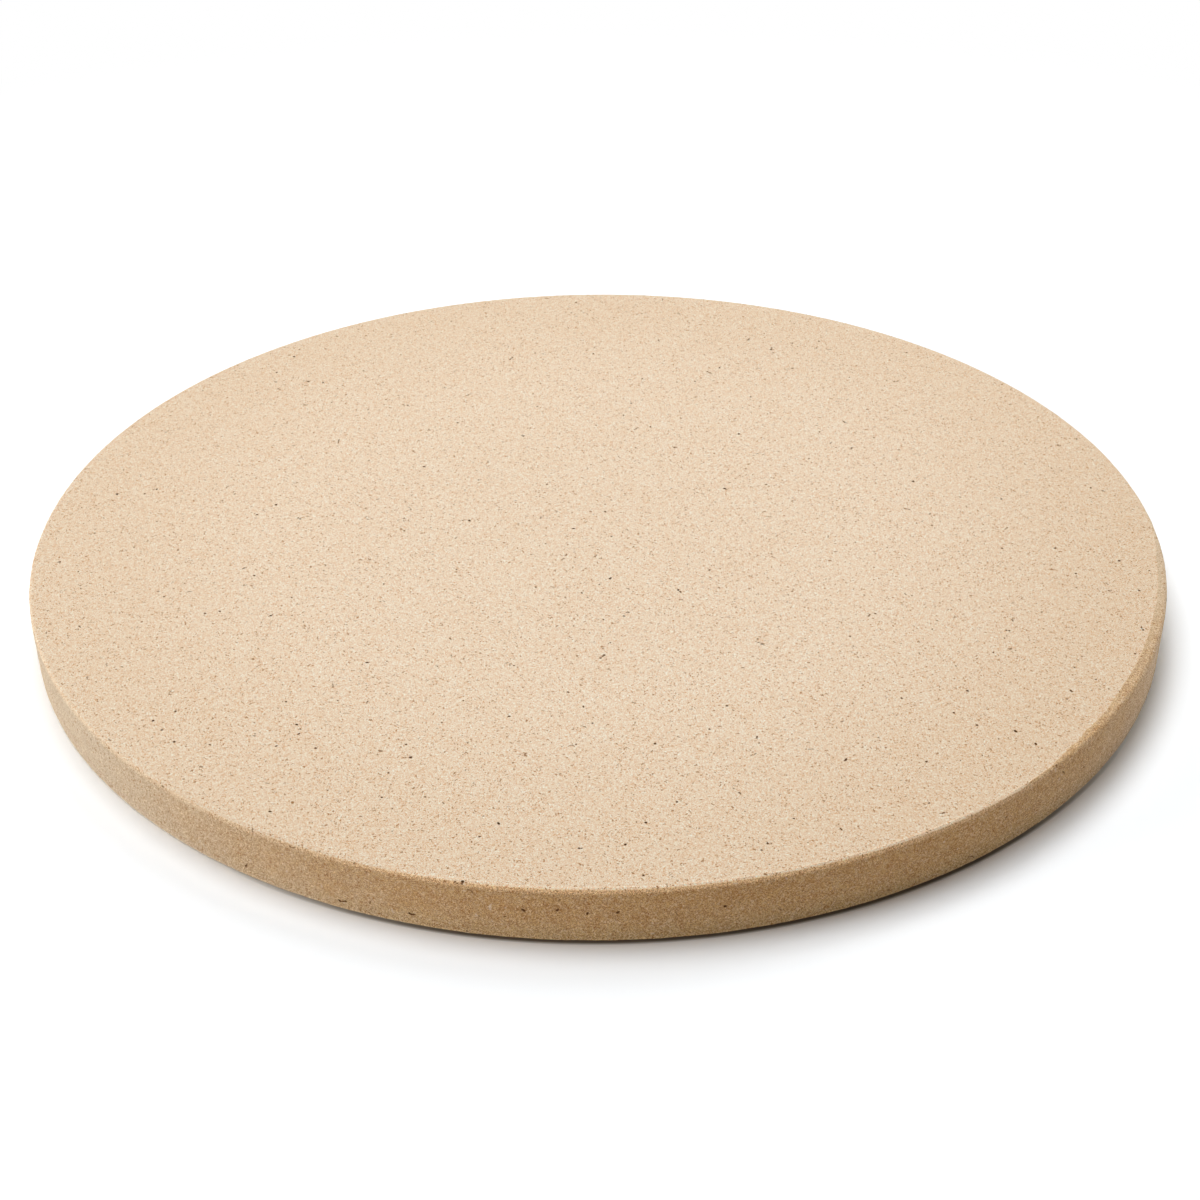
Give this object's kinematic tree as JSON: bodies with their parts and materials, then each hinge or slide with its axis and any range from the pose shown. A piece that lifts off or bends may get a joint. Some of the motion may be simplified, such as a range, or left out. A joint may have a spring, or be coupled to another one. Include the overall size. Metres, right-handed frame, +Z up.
{
  "type": "pizza stone",
  "caption": "Round flat slab of unglazed cream ceramic with softly rounded edges, laid on an oven rack and heated to bake pizza and bread on its upper face.",
  "frame": {"origin": "centre of the underside, on the surface that the stone lies on", "axes": "+Z up through the middle of the disc, from the underside to the baking face; +X and +Y lie in the underside, and the disc is the same whichever way it is turned about +Z"},
  "size_m": [0.33, 0.33, 0.0159],
  "materials": {
    "cordierite": "unglazed, matt and finely porous, cream"
  },
  "bodies": {
    "root": {"baking_stone": "cordierite"}
  },
  "joints": []
}
